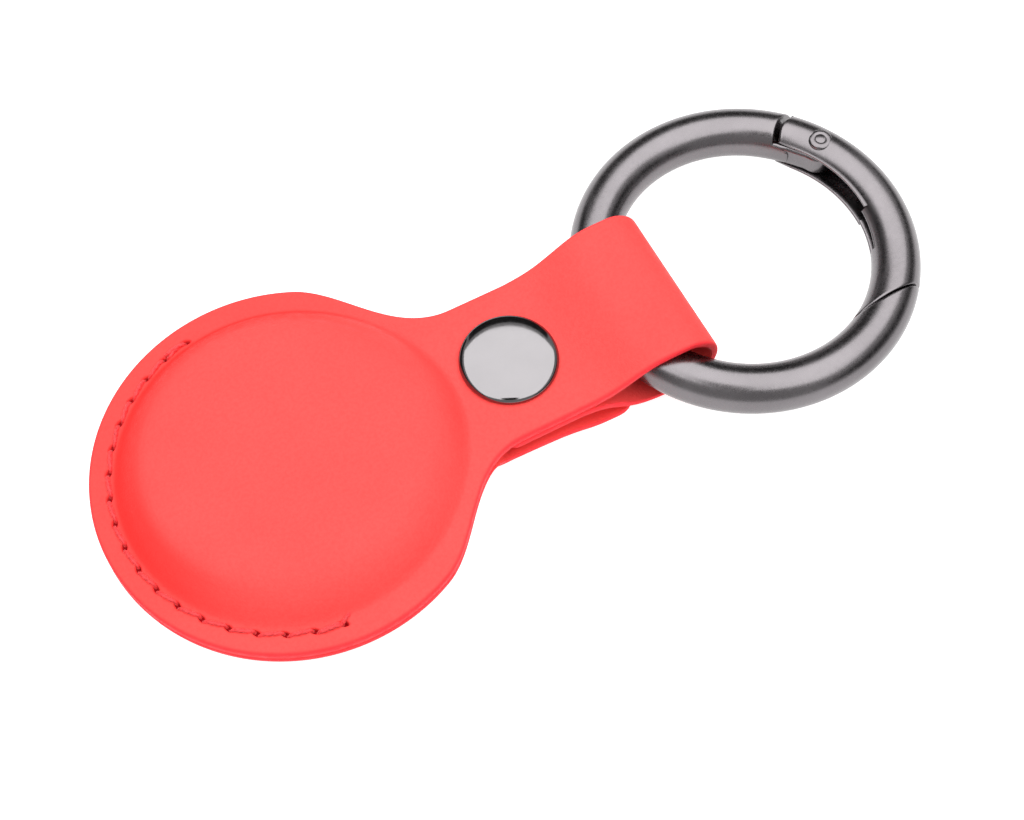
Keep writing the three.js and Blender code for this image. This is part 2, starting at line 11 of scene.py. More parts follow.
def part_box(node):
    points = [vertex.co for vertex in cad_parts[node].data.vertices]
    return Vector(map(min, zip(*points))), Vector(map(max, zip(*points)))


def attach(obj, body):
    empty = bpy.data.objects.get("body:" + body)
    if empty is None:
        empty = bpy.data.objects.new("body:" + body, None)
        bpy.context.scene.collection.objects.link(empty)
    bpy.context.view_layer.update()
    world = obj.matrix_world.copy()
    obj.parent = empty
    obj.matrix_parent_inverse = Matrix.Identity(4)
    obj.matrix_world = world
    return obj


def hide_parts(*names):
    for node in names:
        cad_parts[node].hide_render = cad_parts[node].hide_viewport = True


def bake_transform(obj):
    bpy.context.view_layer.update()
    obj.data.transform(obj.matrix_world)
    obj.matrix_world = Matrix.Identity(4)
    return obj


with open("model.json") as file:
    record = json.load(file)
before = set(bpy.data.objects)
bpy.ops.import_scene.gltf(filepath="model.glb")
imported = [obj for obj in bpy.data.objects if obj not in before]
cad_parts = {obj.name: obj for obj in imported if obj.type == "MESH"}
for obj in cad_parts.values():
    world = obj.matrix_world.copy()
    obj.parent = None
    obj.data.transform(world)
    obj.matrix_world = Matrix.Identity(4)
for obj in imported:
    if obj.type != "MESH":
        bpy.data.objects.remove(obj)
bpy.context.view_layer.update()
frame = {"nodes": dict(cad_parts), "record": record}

MM = 0.001

# Driving dimensions, in millimetres and degrees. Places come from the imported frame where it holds
# them. Heights are from the plane between the two hides, and x from the middle of the lobe.
LEATHER = 1.2            # thickness of the hide
FOLD_LEATHER = 0.86      # the hide is pared down to this at the fold
LAP = 0.05               # half of the air between two layers
SEWN_GAP = 0.015         # the same where the hides are sewn and pressed together
DOME_RISE = 4.83         # middle of the hide over the flat of the tracker

NECK_DEG = 65            # the outline leaves the round lobe here
NECK_PULL = 5.5          # handles of the neck's curve, at the lobe and at the strap
NECK_EASE = 6.8
NECK_END = 23            # the strap's straight sides start here
STRAP_HALF = 8.75
STRAP_FROM = 28          # the strap starts to lift here
LOOP_START = 29.8        # strap and return part here, and start to widen and thin towards the fold
LOOP_FULL = 40           # from here round the fold they are widest and thinnest
FOLD_X = 42.1
FOLD_R = 4.03
FOLD_HALF = 9.15
OVER_RING = 1.2          # the strap's edges lift this much later than its middle, over the ring
RETURN_END = 21.5        # the strap's end, folded back under it
RETURN_CORNER = 0.9
WIDE_AGAIN = 8.3         # the return has the strap's own width this far before its end
THICK_AGAIN = 8          # and its full thickness
FLAP_FROM = 17.2         # the back hide leaves the lobe's own shape here
FLAP_END = 37.5
FLAP_CORNER = 2.6

SEAM_R = 18.86
SEAM_START_DEG = 102
SEAM_END_DEG = 262
STITCHES = 18
THREAD_R = 0.2
HOLE_LENGTH = 0.62       # half the length and half the width of a needle hole
HOLE_WIDTH = 0.33
HOLE_SLANT = 0.45        # its slant against the seam, in radians
GROOVE_DEPTH = 0.11      # the seam lies this deep in the face
FRONT_HOLE_DEPTH = 0.45
BACK_HOLE_DEPTH = 0.55

FLAP_TOP = -2.7          # faces of the flap where the snap goes through it
FLAP_BOTTOM = FLAP_TOP - LEATHER
CAP_OVERHANG = 0.2       # the thin rolled rim of the cap stands out past the solid cap

HINGE_CLEAR_R = 4.7      # round hinge end of the gate, about the pin
HINGE_GAP = 0.55         # between that and the wire of the body
SHOULDER_R = 14.6        # nearer the eye than this, the body reaches on towards the pin
SHOULDER_CLEAR_R = 3.1   # and the gate's lips are cut back to this, about the pin
NOSE_Y = -12.95          # the gate's nose rests on the body in this plane
NOSE_GAP = 0.15
END_BEVEL = 0.16         # on the ends of the body and the gate's nose
HINGE_BEVEL = 0.26       # on the gate's hinge end
KNUCKLE_R = 2.1          # round end of the body's hinge tongue, about the pin
TONGUE_HALF = 1.4
TONGUE_BEVEL = 0.45
TONGUE_INNER_R = 14.34
TONGUE_OUTER_R = 18.1
TONGUE_ROOT_DEG = 49
NARROW_CHANNEL = (0.9, 17.6, 0.06)   # half width, radius of the floor, depth of the lip's flat
WIDE_CHANNEL = (1.66, 18.85, 0.44)
NARROW_FROM_DEG = -27
WIDE_FROM_DEG = -7
PIN_R = 0.74
PIN_HEAD_R = 1.38
PIN_HALF = 2.76          # half the length of the pin, over its heads
COIL_R = 1.25
COIL_WIRE_R = 0.16
COIL_LOW = 0.32          # height where the coil of the gate's spring starts, and its climb
COIL_CLIMB = 0.86
COIL_TURN_DEG = 900
LEG_DEG = 103            # its leg lies this far back from the pin's own direction
LEG_LENGTH = 6
GRIP_R = 2.08            # open ring of wire that grips the stud
GRIP_WIRE_R = 0.14
GRIP_Z = -2.06


def corners(node):
    """Lowest and highest corner of a CAD node, in millimetres."""
    low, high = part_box(node)
    return np.array(low) / MM, np.array(high) / MM


def joint(name):
    return next(j for j in frame["record"]["behaviour"]["joints"] if j["name"] == name)


ring_low, ring_high = corners("ring_body")
cap_low, cap_high = corners("snap_cap")

MID_Z = (ring_low[2] + ring_high[2]) / 2         # the plane between the two hides
LOBE_R = -corners("front_panel")[0][0]
WIRE_R = (ring_high[2] - ring_low[2]) / 2
RING_OUT = (ring_high[1] - ring_low[1]) / 2
RING_R = RING_OUT - WIRE_R
RING_X = ring_low[0] + RING_OUT
SNAP_X = (cap_low[0] + cap_high[0]) / 2
CAP_R = (cap_high[0] - cap_low[0]) / 2
CAP_RIM = CAP_R + CAP_OVERHANG
PIN = np.array(joint("gate_swing")["pos_m"][:2]) / MM - [RING_X, 0]
PIN_AT = math.hypot(*PIN)
PIN_DEG = math.degrees(math.atan2(PIN[1], PIN[0]))
LEATHER_TOP = LAP + LEATHER
FLAT_MID = LAP + LEATHER / 2                     # middle of a hide where two lie flat together


# ---------------------------------------------------------------------------------------------
# Mesh helpers. Shapes are made in millimetres, with heights from the plane between the hides.

def grid_quads(rows, columns, closed=False):
    """Quads over a grid of points stored row by row. closed joins the last column to the first."""
    across = columns if closed else columns - 1
    i, j = np.meshgrid(np.arange(rows - 1), np.arange(across), indexing="ij")
    k = (j + 1) % columns
    row, below = i * columns, (i + 1) * columns
    return np.stack([row + j, row + k, below + k, below + j], -1).reshape(-1, 4)


SPECK = 1e-14            # a face of fewer square metres than this is folded flat


def add_mesh(name, points, faces, weld=0.0, attributes=None, sharp_deg=40):
    """An object from points in millimetres. Welding joins points closer than weld millimetres."""
    points = np.asarray(points, float)
    mesh = bpy.data.meshes.new(name)
    mesh.from_pydata((points + [0, 0, MID_Z]) * MM, [], [list(map(int, f)) for f in faces])
    for key, values in (attributes or {}).items():
        layer = mesh.attributes.new(key, "FLOAT", "POINT")
        layer.data.foreach_set("value", np.asarray(values, np.float32))
    obj = bpy.data.objects.new(name, mesh)
    bpy.context.scene.collection.objects.link(obj)
    work = bmesh.new()
    work.from_mesh(mesh)
    if weld:
        bmesh.ops.remove_doubles(work, verts=work.verts, dist=weld * MM)
        flat = [f for f in work.faces if f.calc_area() < SPECK]
        bmesh.ops.delete(work, geom=flat, context="FACES")
    bmesh.ops.recalc_face_normals(work, faces=work.faces)
    work.to_mesh(mesh)
    work.free()
    mesh.shade_smooth()
    mesh.set_sharp_from_angle(angle=math.radians(sharp_deg))
    return obj


def join_parts(parts):
    """One point list and one face list from several (points, faces)."""
    points, faces, start = [], [], 0
    for p, f in parts:
        points.append(np.asarray(p, float))
        faces.extend([[int(i) + start for i in face] for face in f])
        start += len(p)
    return np.concatenate(points), faces


def turned(profile, facets=96, at=(0, 0)):
    """A profile of (radius, height) turned about a vertical axis."""
    profile = np.array(profile, float)
    turn = np.arange(facets) / facets * 2 * math.pi
    points = np.stack([
        at[0] + profile[:, :1] * np.cos(turn), at[1] + profile[:, :1] * np.sin(turn),
        np.repeat(profile[:, 1:], facets, 1)], -1).reshape(-1, 3)
    return points, grid_quads(len(profile), facets, closed=True)


def spline(control, count):
    """A smooth curve that follows a control polygon and ends on its end points."""
    c = np.array(control, float)
    c = np.concatenate([c[:1], c[:1], c, c[-1:], c[-1:]])
    spans = len(c) - 3
    at = np.linspace(0, spans - 1e-9, count)
    k, t = at.astype(int), (at % 1)[:, None]
    w = [(1 - t) ** 3, 3 * t ** 3 - 6 * t ** 2 + 4, -3 * t ** 3 + 3 * t ** 2 + 3 * t + 1, t ** 3]
    return sum(w[n] * c[k + n] for n in range(4)) / 6


def bezier(a, b, c, d, count):
    t = np.linspace(0, 1, count)[:, None]
    a, b, c, d = (np.array(p, float) for p in (a, b, c, d))
    return (1 - t) ** 3 * a + 3 * (1 - t) ** 2 * t * b + 3 * (1 - t) * t ** 2 * c + t ** 3 * d


def arc(centre, radius, start_deg, end_deg, count):
    turn = np.radians(np.linspace(start_deg, end_deg, count))
    return np.stack([centre[0] + radius * np.cos(turn), centre[1] + radius * np.sin(turn)], -1)


def polar(radius, deg):
    return np.array([radius * math.cos(math.radians(deg)), radius * math.sin(math.radians(deg))])


def chain(*pieces):
    """Point lists end to end, without the repeated points."""
    line = np.concatenate([np.array(p, float) for p in pieces])
    keep = np.concatenate([[True], np.hypot(*np.diff(line, axis=0).T) > 1e-6])
    return line[keep]


def lengths(line):
    return np.concatenate([[0], np.cumsum(np.linalg.norm(np.diff(line, axis=0), axis=1))])


def along(line, at):
    """Points at the given lengths along a line."""
    s = lengths(line)
    return np.stack([np.interp(at, s, line[:, i]) for i in range(line.shape[1])], -1)


def smoothstep(x, low, high):
    t = np.clip((x - low) / (high - low), 0, 1)
    return t * t * (3 - 2 * t)


def hump(x, middle, width, power=2):
    """1 at the middle, falling to nothing on both sides. A higher power has a flatter top."""
    return np.exp(-((x - middle) / width) ** power)


def swept(line, section, twist=0.0, sides=10):
    """A closed tube: section(share, angle) gives its radius along a 3D line."""
    line = np.array(line, float)
    tangent = np.gradient(line, axis=0)
    tangent /= np.linalg.norm(tangent, axis=1)[:, None]
    side = np.cross(tangent, [0, 0, 1.0])
    weak = np.linalg.norm(side, axis=1) < 0.2          # where the line runs almost straight up
    side[weak] = np.cross(tangent[weak], [0.37, 0.93, 0])
    side /= np.linalg.norm(side, axis=1)[:, None]
    up = np.cross(side, tangent)
    share = np.linspace(0, 1, len(line))[:, None]
    turn = (np.arange(sides) / sides * 2 * math.pi)[None, :]
    radius = section(share, turn + twist * share)
    points = (line[:, None] + radius[..., None] * (np.cos(turn)[..., None] * side[:, None]
              + np.sin(turn)[..., None] * up[:, None])).reshape(-1, 3)
    faces = grid_quads(len(line), sides, closed=True).tolist()
    last = len(points)
    points = np.concatenate([points, line[:1], line[-1:]])
    for j in range(sides):
        k = (j + 1) % sides
        faces.append([last, k, j])
        faces.append([last + 1, last - sides + j, last - sides + k])
    return points, faces


def inward_of(line):
    """Unit vectors that point into an outline listed counter-clockwise."""
    way = np.roll(line, -1, 0) - np.roll(line, 1, 0)
    way = np.stack([-way[:, 1], way[:, 0]], -1)
    return way / np.linalg.norm(way, axis=1)[:, None]


def lofted(rings):
    """A closed solid through a list of closed rings of points."""
    points, n = np.concatenate(rings), len(rings[0])
    faces = grid_quads(len(rings), n, closed=True).tolist()
    faces.append(list(range(n))[::-1])
    faces.append([len(points) - n + i for i in range(n)])
    return points, faces


# ---------------------------------------------------------------------------------------------
# Leather hides. A hide is cut flat to an outline in (u, v), then laid over the tracker and along
# the strap's path. w runs through its thickness, from -1 on the flesh side to 1 on the grain side.

# Middle of a hide in section, as (distance or place, height): over the tracker, along the strap
# and round its fold, and along the flap.
dome = spline([
    (0, DOME_RISE), (8, DOME_RISE), (11.7, DOME_RISE), (13.7, 4.74), (15.2, 4.05), (16.25, 2.95),
    (17.05, 1.65), (17.85, 0.75), (18.7, FLAT_MID), (20, FLAT_MID), (22, FLAT_MID)], 600)
dome_slope = np.gradient(dome[:, 1], dome[:, 0])
strap_line = chain(
    spline([(STRAP_FROM, FLAT_MID), (30, FLAT_MID), (32, 1.0), (34, 1.95), (36, 3.12), (37.5, 3.9),
            (39.1, 4.08), (41, 4.05), (FOLD_X, FOLD_R)], 60),
    arc((FOLD_X, 0), FOLD_R, 90, -90, 48),
    bezier((LOOP_FULL, -FOLD_R), (34.6, -4), (35.2, -FLAT_MID), (LOOP_START, -FLAT_MID), 40),
    [(RETURN_END, -FLAT_MID)])
flap_line = spline([
    (FLAP_FROM, FLAT_MID), (18.2, FLAT_MID), (19.3, 1.1), (20.2, 2.5), (21.3, 2.95), (23.5, 3.05),
    (25.8, 3.2), (28.4, 3.45), (30.4, 4.0), (32, 4.6), (34, 4.74), (FLAP_END, 4.78)], 120)

wave_rng = np.random.default_rng(7)
waves = [(wave_rng.uniform(0.12, 0.55), wave_rng.uniform(0, 2 * math.pi), wave_rng.uniform(0, 6.3),
          wave_rng.uniform(0.4, 1)) for _ in range(9)]


def unevenness(u, v):
    """Slow waves in hand-worked leather, from -1 to 1."""
    total = sum(a * np.sin(f * (np.cos(d) * u + np.sin(d) * v) + p) for f, d, p, a in waves)
    return total / sum(a for *_, a in waves)


def panel_edge(tail):
    """Outline of the upper half of a hide, from the far tip of the lobe to the end of the strap."""
    start, end = polar(LOBE_R, NECK_DEG), np.array([NECK_END, STRAP_HALF])
    neck = bezier(start, start + polar(NECK_PULL, NECK_DEG - 90), end - [NECK_EASE, 0], end, 60)
    return chain(arc((0, 0), LOBE_R, 180, NECK_DEG, 240), neck, tail)


BAND = 3.6               # width of the rows of points that run parallel to a hide's edge
FINE_ROWS = [0.5, 0.8, 1.1, 1.4, 1.6, 1.74, 1.86, 1.96, 2.05, 2.14, 2.23, 2.32, 2.42, 2.54, 2.7,
             2.95, 3.25, BAND]
COARSE_ROWS = [0.6, 1.4, 2.2, 2.9, BAND]
# The cut edge, as (distance in from the outline, w).
ROUNDING = [(0.36, 0.99), (0.22, 0.93), (0.11, 0.8), (0.035, 0.58), (0.0, 0.2), (0.0, -0.9),
            (0.03, -0.98), (0.1, -1.0)]
EDGE_MARK = 0.3          # the colour of the cut edge reaches this far in
HANDLE = 0.33            # handles of the curves from the heart line to the edge band
NEAR_EDGE = 1.35         # how strongly their points crowd towards the band


def rim_and_heart(edge, end_pole):
    """Points along half an outline with their outward directions, the points of the heart line that
    their rows start from, and which of those rows fan out from one end of it."""
    s = lengths(edge)
    quarter = LOBE_R * math.pi / 2
    neck_at = s[np.argmin(np.abs(edge - [NECK_END, STRAP_HALF]).sum(1))]
    fan_at = s[-1] - (edge[-1, 0] - end_pole) * 0.4 - edge[:, 1].max()
    stations = np.concatenate([
        np.linspace(0, quarter, 200, endpoint=False),
        np.linspace(quarter, neck_at, 110, endpoint=False),
        np.linspace(neck_at, fan_at, max(int((fan_at - neck_at) / 0.38), 24), endpoint=False),
        np.linspace(fan_at, s[-1], 40)])
    ahead = along(edge, np.minimum(stations + 0.02, s[-1]))
    way = ahead - along(edge, np.maximum(stations - 0.02, 0))
    way /= np.linalg.norm(way, axis=1)[:, None]
    way[0], way[-1] = (0, 1), (0, -1)
    outward = np.stack([-way[:, 1], way[:, 0]], -1)
    heart = np.interp(stations, [0, quarter, neck_at, fan_at, s[-1]],
                      [0, 0, NECK_END, end_pole, end_pole])
    heart = np.stack([heart, np.zeros_like(heart)], -1)
    return along(edge, stations), outward, heart, (stations <= quarter) | (stations >= fan_at)


def flat_layers(edge, end_pole):
    """Half a hide as it is cut, as rows of points with their distance in from the edge and their w,
    from the heart line on the grain side round the edge to the heart line on the flesh side."""
    rim, outward, heart, fan = rim_and_heart(edge, end_pole)
    base = rim - outward * BAND
    reach = np.linalg.norm(base - heart, axis=1)[:, None]
    start_pull = -outward * reach * HANDLE
    end_pull = np.array([0, 1]) * reach * HANDLE
    end_pull[fan] = ((base - heart) * HANDLE)[fan]

    def rows(count, offsets, w):
        shares = 1 - (1 - np.linspace(0, 1, count, endpoint=False)) ** NEAR_EDGE
        out = [(heart * (1 - t) ** 3 + 3 * (heart + end_pull) * (1 - t) ** 2 * t
                + 3 * (base + start_pull) * (1 - t) * t ** 2 + base * t ** 3, BAND + 1.0, w)
               for t in shares]
        return out + [(rim - outward * d, d, w) for d in reversed(offsets)]

    rounding = [(rim - outward * d, d, w) for d, w in ROUNDING]
    return rows(27, FINE_ROWS, 1.0) + rounding + rows(9, COARSE_ROWS, -1.0)[::-1]


def lay(u, v, bend_from, path, over_ring):
    """Middle and normal of a hide at flat places, laid over the tracker and, from bend_from on,
    along its path. over_ring is how much later its edges lift than its middle."""
    r = np.hypot(u, v)
    toward_neck = 1 - 0.055 * hump(np.arctan2(v, u), 0, 0.6)       # the dome is wider there
    height = np.interp(r * toward_neck, dome[:, 0], dome[:, 1])
    height -= (LAP - SEWN_GAP) * smoothstep(r, 17, 18.5) * (1 - smoothstep(u, 6, 15))
    lean = np.interp(r * toward_neck, dome[:, 0], dome_slope) / np.maximum(r, 1e-6)
    middle = np.stack([u, v, height], -1)
    normal = np.stack([-lean * u, -lean * v, np.ones_like(u)], -1)

    path_s = lengths(path)
    slope = np.gradient(path, path_s, axis=0)
    slope /= np.linalg.norm(slope, axis=1)[:, None]
    far = u > bend_from
    run = u[far] - bend_from
    hug = over_ring * (v[far] / FOLD_HALF) ** 2
    hug *= smoothstep(run, 0, 7) * (1 - smoothstep(run, 12, 18))   # only on the way to the fold
    px = np.interp(run, path_s, path[:, 0])
    pz = np.interp(run - hug, path_s, path[:, 1])
    tx, tz = (np.interp(run - hug, path_s, slope[:, axis]) for axis in (0, 1))
    middle[far] = np.stack([px, v[far], pz], -1)
    normal[far] = np.stack([-tz, np.zeros_like(tx), tx], -1)
    return middle, normal / np.linalg.norm(normal, axis=1)[:, None]


def hide(name, tail, end_pole, bend_from, path, thickness, relief, flip, over_ring=0):
    """A leather panel as one closed mesh, finer near its seam. Its rows of points spread from its
    heart line, which runs along its middle to end_pole."""
    layers = flat_layers(panel_edge(tail), end_pole)
    marks = {"edge": [], "painted_hole_shade": [], "painted_shoulder_shade": []}
    parts = []
    for side in (1, -1):
        block = []
        for flat, d, w in layers:
            u, v = flat[:, 0], flat[:, 1] * side
            middle, normal = lay(u, v, bend_from, path, over_ring)
            rise = relief(u, v) if w > 0.5 else 0
            block.append(middle + normal * (w * thickness(u) / 2 + rise)[:, None])
            at_edge = max(0.0, 1 - d / EDGE_MARK) if abs(w) < 0.999 else 0.0
            marks["edge"].append(np.full(len(u), at_edge))
            # painted shade in the needle holes, on the grain side only
            marks["painted_hole_shade"].append(hole_share(u, v) if w == 1.0 else np.zeros(len(u)))
            # painted shade on the dome's upper and left shoulder
            marks["painted_shoulder_shade"].append(painted_shoulder_shade(u, v))
        parts.append((np.concatenate(block), grid_quads(len(layers), len(block[0]))))
    points, faces = join_parts(parts)
    if flip:
        points = points * [1, 1, -1]
    return add_mesh(name, points, faces, weld=0.002, sharp_deg=80,
                    attributes={key: np.concatenate(values) for key, values in marks.items()})


stitch_deg = (SEAM_END_DEG - SEAM_START_DEG) / STITCHES
hole_degs = SEAM_START_DEG + stitch_deg * np.arange(STITCHES + 1)


def hole_share(x, y):
    """How far a point lies in a needle hole, from 0 to 1."""
    share = np.zeros_like(x)
    for turn in np.radians(hole_degs):
        dx, dy = x - SEAM_R * math.cos(turn), y - SEAM_R * math.sin(turn)
        cx, cy = -math.sin(turn - HOLE_SLANT), math.cos(turn - HOLE_SLANT)
        a, b = dx * cx + dy * cy, dx * cy - dy * cx
        share = np.maximum(share, 1 - smoothstep(
            np.hypot(a / HOLE_LENGTH, b / HOLE_WIDTH), 0.55, 1.1))
    return share


def seam_groove(x, y):
    """How far a point lies in the groove that the seam is drawn into, from 0 to 1."""
    r, turn = np.hypot(x, y), np.degrees(np.arctan2(y, x)) % 360
    sewn = smoothstep(turn, SEAM_START_DEG - 2, SEAM_START_DEG)
    sewn *= 1 - smoothstep(turn, SEAM_END_DEG, SEAM_END_DEG + 2)
    return sewn * hump(r, SEAM_R, 0.42)


def painted_shoulder_shade(u, v):
    """How far painted shade darkens the dome's shoulder, from 0 to 1: most on the upper and left
    shoulder.
    """
    r, turn = np.hypot(u, v), np.degrees(np.arctan2(v, u)) % 360
    shoulder = smoothstep(r, 14.2, 15.8) * (1 - 0.7 * smoothstep(r, 17.6, 18.6))
    return shoulder * hump(turn, 128, 92, 6) * (1 - smoothstep(u, 12, 17))


def front_relief(u, v):
    r, turn = np.hypot(u, v), np.degrees(np.arctan2(v, u))
    round_cap = -0.08 * hump(np.hypot(u - SNAP_X, v), CAP_R, 0.75)
    crease = 0.13 * (hump(r, 16.7, 0.5) - hump(r, 15.5, 0.5)) * hump(turn, 65, 42, 4)
    uneven = 0.02 * unevenness(u, v) * (1 - smoothstep(u, 40, 46))
    seam_rise = -GROOVE_DEPTH * seam_groove(u, v) - FRONT_HOLE_DEPTH * hole_share(u, v)
    return seam_rise + round_cap + crease + uneven


def back_relief(u, v):
    round_rivet = -0.12 * hump(np.hypot(u - SNAP_X, v), 4.2, 0.7)
    return round_rivet - GROOVE_DEPTH * seam_groove(u, v) - BACK_HOLE_DEPTH * hole_share(u, v)


def pared(u):
    """Thickness of the front hide."""
    thin = smoothstep(u, LOOP_START, fold_s) * (1 - smoothstep(u, far_s, strap_end - THICK_AGAIN))
    return LEATHER + (FOLD_LEATHER - LEATHER) * thin


# Places along the cut strap: where it comes to the fold, where it has passed it, and its end.
strap_end = STRAP_FROM + lengths(strap_line)[-1]
to_fold = lengths(strap_line)[np.argmin(np.abs(strap_line - [LOOP_FULL, FOLD_R]).sum(1))]
fold_s = STRAP_FROM + to_fold
far_s = strap_end - to_fold - (STRAP_FROM - RETURN_END)
front_tail = chain(
    [(LOOP_START, STRAP_HALF), (fold_s, FOLD_HALF), ((fold_s + far_s) / 2, FOLD_HALF + 0.05),
     (far_s, FOLD_HALF), (strap_end - WIDE_AGAIN, STRAP_HALF)],
    arc((strap_end - RETURN_CORNER, STRAP_HALF - RETURN_CORNER), RETURN_CORNER, 90, 0, 8),
    [(strap_end, 0)])
front = hide("leather_front", front_tail, strap_end - 3, STRAP_FROM, strap_line, pared,
             front_relief, flip=False, over_ring=OVER_RING)

flap_tip = FLAP_FROM + lengths(flap_line)[-1]
back_tail = chain(
    arc((flap_tip - FLAP_CORNER, STRAP_HALF - FLAP_CORNER), FLAP_CORNER, 90, 0, 24),
    [(flap_tip, 0)])
back = hide("leather_back", back_tail, flap_tip - 6, FLAP_FROM, flap_line,
            lambda u: np.full_like(u, LEATHER), back_relief, flip=True)


# ---------------------------------------------------------------------------------------------
# Seam

# A stitch in side view: its share of the way between two holes, and its height over the face.
STITCH_SHAPE = np.array([
    (0.0, -0.8), (0.02, -0.4), (0.1, -0.02), (0.25, 0.1), (0.4, 0.14), (0.5, 0.15), (0.6, 0.14),
    (0.75, 0.1), (0.9, -0.02), (0.98, -0.4), (1.0, -0.8)])
SUNK = 0.12              # the seam is drawn this far into the face
PLY_TURNS = 2.25         # turns of the two plies in one stitch


def stitch(start_deg, end_deg, radius_at, side, slant, lift=0.0):
    """One stitch of two-ply thread, from hole to hole over the face of the leather. Its far end
    lies farther out than its near one by slant."""
    at = np.linspace(0, len(STITCH_SHAPE) - 1, 22)
    share, rise = (np.interp(at, np.arange(len(STITCH_SHAPE)), column) for column in STITCH_SHAPE.T)
    turn = np.radians(start_deg + (end_deg - start_deg) * share)
    radius = radius_at + slant * (share - 0.5)
    height = side * (LEATHER_TOP - SUNK + rise + lift)
    line = np.stack([radius * np.cos(turn), radius * np.sin(turn), height], -1)

    def plies(s, a):
        return THREAD_R * (1 + 0.16 * np.cos(2 * a)) * (1 - 0.15 * (2 * s - 1) ** 4)

    return swept(line, plies, twist=side * PLY_TURNS * 2 * math.pi)


def seam(name, side):
    """A row of stitches, with one sewn back over it at each end and a short tail at the last."""
    first, last = hole_degs[0], hole_degs[-1]
    parts = [stitch(a + 0.6, b - 0.6, SEAM_R, side, slant=-0.34)
             for a, b in zip(hole_degs[:-1], hole_degs[1:])]
    for hole, way in ((first, 1), (last, -1)):
        start_deg, end_deg = hole + way * 0.3, hole + way * (stitch_deg - 0.5)
        parts.append(stitch(start_deg, end_deg, SEAM_R + 0.14, side, slant=0.3, lift=0.12))
    parts.append(stitch(last - 0.6, last + 3.2, SEAM_R - 0.45, side, slant=-0.9, lift=0.1))
    return add_mesh(name, *join_parts(parts))


front_seam = seam("stitches_front", 1)
back_seam = seam("stitches_back", -1)


# ---------------------------------------------------------------------------------------------
# Snap fastener

# Faces that the parts of the snap rest on.
STRAP_FACE = LEATHER_TOP
SOCKET_FACE = -LEATHER_TOP - LAP
STUD_FACE = FLAP_TOP + LAP
RIVET_FACE = FLAP_BOTTOM - 0.04


def lathe(name, profile, at):
    return add_mesh(name, *turned(profile, at=at), weld=0.001, sharp_deg=50)


def above(face, profile):
    """A profile whose heights are given from a face."""
    return [(r, face + z) for r, z in profile]


cap = lathe("snap_cap_top", above(STRAP_FACE, chain(
    [(0, 0.9), (3.4, 0.75), (CAP_R - 0.65, 0.55), (CAP_R - 0.5, 0.3), (4.3, 0.04),
     (CAP_RIM - 0.3, 0)],
    spline([(CAP_RIM - 0.3, 0), (CAP_RIM, 0.02), (CAP_RIM + 0.02, 0.25), (CAP_RIM - 0.06, 0.48),
            (CAP_RIM - 0.28, 0.66), (CAP_RIM - 0.65, 0.81), (CAP_RIM - 1.15, 0.94),
            (CAP_RIM - 1.9, 1.04), (2.4, 1.12), (1.2, 1.15), (0, 1.16)], 90))), (SNAP_X, 0))
post = lathe("snap_post_tube", above(STRAP_FACE, [
    (0, 0.7), (3.9, 0.7), (3.9, 0.4), (1.5, 0.4), (1.5, -2.8), (1.75, -2.85), (2.05, -2.87),
    (2.1, -2.93), (2.0, -2.97), (1.1, -2.97), (1.1, 0.2), (0, 0.2)]), (SNAP_X, 0))
socket = lathe("snap_socket_ring", above(SOCKET_FACE, [
    (1.65, 0), (4.4, 0), (4.6, -0.07), (4.7, -0.25), (4.7, -0.9), (4.64, -1.01), (4.5, -1.05),
    (3.4, -1.05), (3.3, -0.98), (3.2, -1.05), (2.05, -1.05), (1.95, -1.0), (1.95, -0.95),
    (2.6, -0.95), (2.6, -0.24), (1.65, -0.24), (1.65, 0)]), (SNAP_X, 0))
stud = lathe("snap_stud_knob", above(STUD_FACE, [
    (1.15, 0), (4.15, 0), (4.2, 0.05), (4.2, 0.15), (4.15, 0.2), (2.1, 0.2), (1.85, 0.25),
    (1.58, 0.37), (1.66, 0.47), (1.75, 0.59), (1.74, 0.71), (1.62, 0.81), (1.4, 0.85),
    (1.15, 0.85), (1.15, 0)]), (SNAP_X, 0))
rivet = lathe("snap_rivet", above(RIVET_FACE, [
    (0.75, -0.42), (0.9, -0.48), (3.3, -0.46), (3.9, -0.38), (4.16, -0.22), (4.2, -0.08), (4.1, 0),
    (1.05, 0), (1.05, 1.99), (0.75, 1.99), (0.75, -0.42)]), (SNAP_X, 0))


def spring_wire(name, line, radius):
    return add_mesh(name, *swept(line, lambda s, a: np.full(np.broadcast(s, a).shape, radius)))


grip_turn = np.radians(np.linspace(15, 345, 60))
grip = spring_wire("snap_grip_wire", np.stack([
    SNAP_X + GRIP_R * np.cos(grip_turn), GRIP_R * np.sin(grip_turn),
    np.full(len(grip_turn), GRIP_Z)], -1), GRIP_WIRE_R)


# ---------------------------------------------------------------------------------------------
# Ring. A section is a closed list of (distance from the ring's centre, height). Each of its points
# runs round the ring between two ends that depend only on that distance.

def round_section(count):
    turn = np.arange(count) / count * 2 * math.pi
    return np.stack([RING_R + WIRE_R * np.cos(turn), WIRE_R * np.sin(turn)], -1)


def channel_section(half, floor, land):
    """Round wire with a channel cut from its inner side, each lip finished with a narrow flat."""
    flat = half + 0.24
    lip = math.asin(flat / WIRE_R)
    turn = np.linspace(-math.pi + lip, math.pi - lip, 96)
    shell = np.stack([RING_R + WIRE_R * np.cos(turn), WIRE_R * np.sin(turn)], -1)
    mouth = shell[-1, 0] - land
    upper = [
        (mouth + land * 0.75, flat + 0.03), (mouth + 0.05, flat + 0.02), (mouth, flat - 0.05),
        (mouth + 0.02, half + 0.05), (mouth + 0.08, half), (mouth + 0.6, half), (floor - 0.5, half),
        (floor - 0.15, half - 0.04), (floor - 0.03, half - 0.18), (floor, half * 0.5), (floor, 0)]
    lower = [(r, -z) for r, z in reversed(upper[:-1])]
    return np.concatenate([shell, upper, lower])


